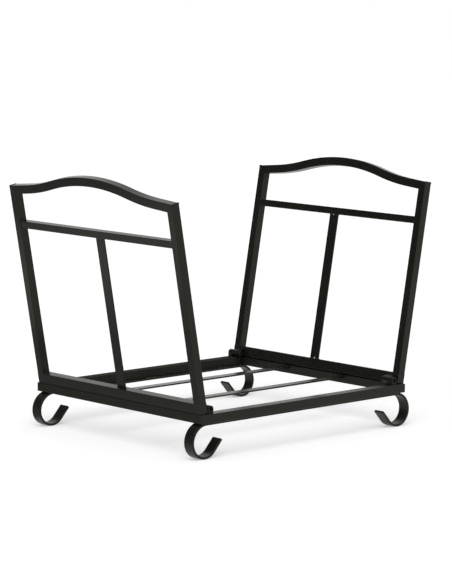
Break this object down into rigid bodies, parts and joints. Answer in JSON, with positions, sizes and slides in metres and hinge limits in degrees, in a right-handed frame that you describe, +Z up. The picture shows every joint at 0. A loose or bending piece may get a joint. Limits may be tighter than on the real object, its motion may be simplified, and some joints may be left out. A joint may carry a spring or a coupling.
{
  "type": "folding log rack",
  "caption": "Black tubular steel firewood rack: rectangular slatted base on scrolled strap feet, with arched end panels that lean outward and fold down over the base.",
  "frame": {"origin": "centre of the rack on the floor", "axes": "+X across the rack from the left panel to the right panel, +Y along the logs towards the rear, +Z up"},
  "size_m": [0.6508, 0.458, 0.4843],
  "materials": {
    "base_paint": "satin black paint on square steel tube",
    "foot_paint": "satin black paint on flat steel bar",
    "panel_paint": "satin black paint on square steel tube",
    "hinge_paint": "satin black paint on small steel hinge pieces",
    "pin_steel": "blackened steel",
    "cap_plastic": "moulded matte black plastic"
  },
  "bodies": {
    "base": {"front_cross_rail": "base_paint", "rear_cross_rail": "base_paint", "left_side_rail": "base_paint", "right_side_rail": "base_paint", "side_rail_end_caps": "cap_plastic", "front_slat": "base_paint", "rear_slat": "base_paint", "front_foot_bar": "foot_paint", "rear_foot_bar": "foot_paint", "left_front_base_knuckle": "hinge_paint", "left_front_hinge_pin": "pin_steel", "left_rear_base_knuckle": "hinge_paint", "left_rear_hinge_pin": "pin_steel", "right_front_base_knuckle": "hinge_paint", "right_front_hinge_pin": "pin_steel", "right_rear_base_knuckle": "hinge_paint", "right_rear_hinge_pin": "pin_steel"},
    "left_panel": {"left_bottom_rail": "panel_paint", "left_bottom_rail_end_caps": "cap_plastic", "left_front_upright": "panel_paint", "left_rear_upright": "panel_paint", "left_top_rail": "panel_paint", "left_crossbar": "panel_paint", "left_centre_bar": "panel_paint", "left_front_panel_eye": "hinge_paint", "left_rear_panel_eye": "hinge_paint"},
    "right_panel": {"right_bottom_rail": "panel_paint", "right_bottom_rail_end_caps": "cap_plastic", "right_front_upright": "panel_paint", "right_rear_upright": "panel_paint", "right_top_rail": "panel_paint", "right_crossbar": "panel_paint", "right_centre_bar": "panel_paint", "right_front_panel_eye": "hinge_paint", "right_rear_panel_eye": "hinge_paint"}
  },
  "joints": [
    {"name": "left_panel_fold", "type": "hinge", "parent": "base", "child": "left_panel", "pos_m": [-0.22894, 0, 0.08815], "axis": [0, 1, 0], "range_deg": [0, 102.5]},
    {"name": "right_panel_fold", "type": "hinge", "parent": "base", "child": "right_panel", "pos_m": [0.22894, 0, 0.08815], "axis": [0, -1, 0], "range_deg": [0, 98.2]}
  ]
}
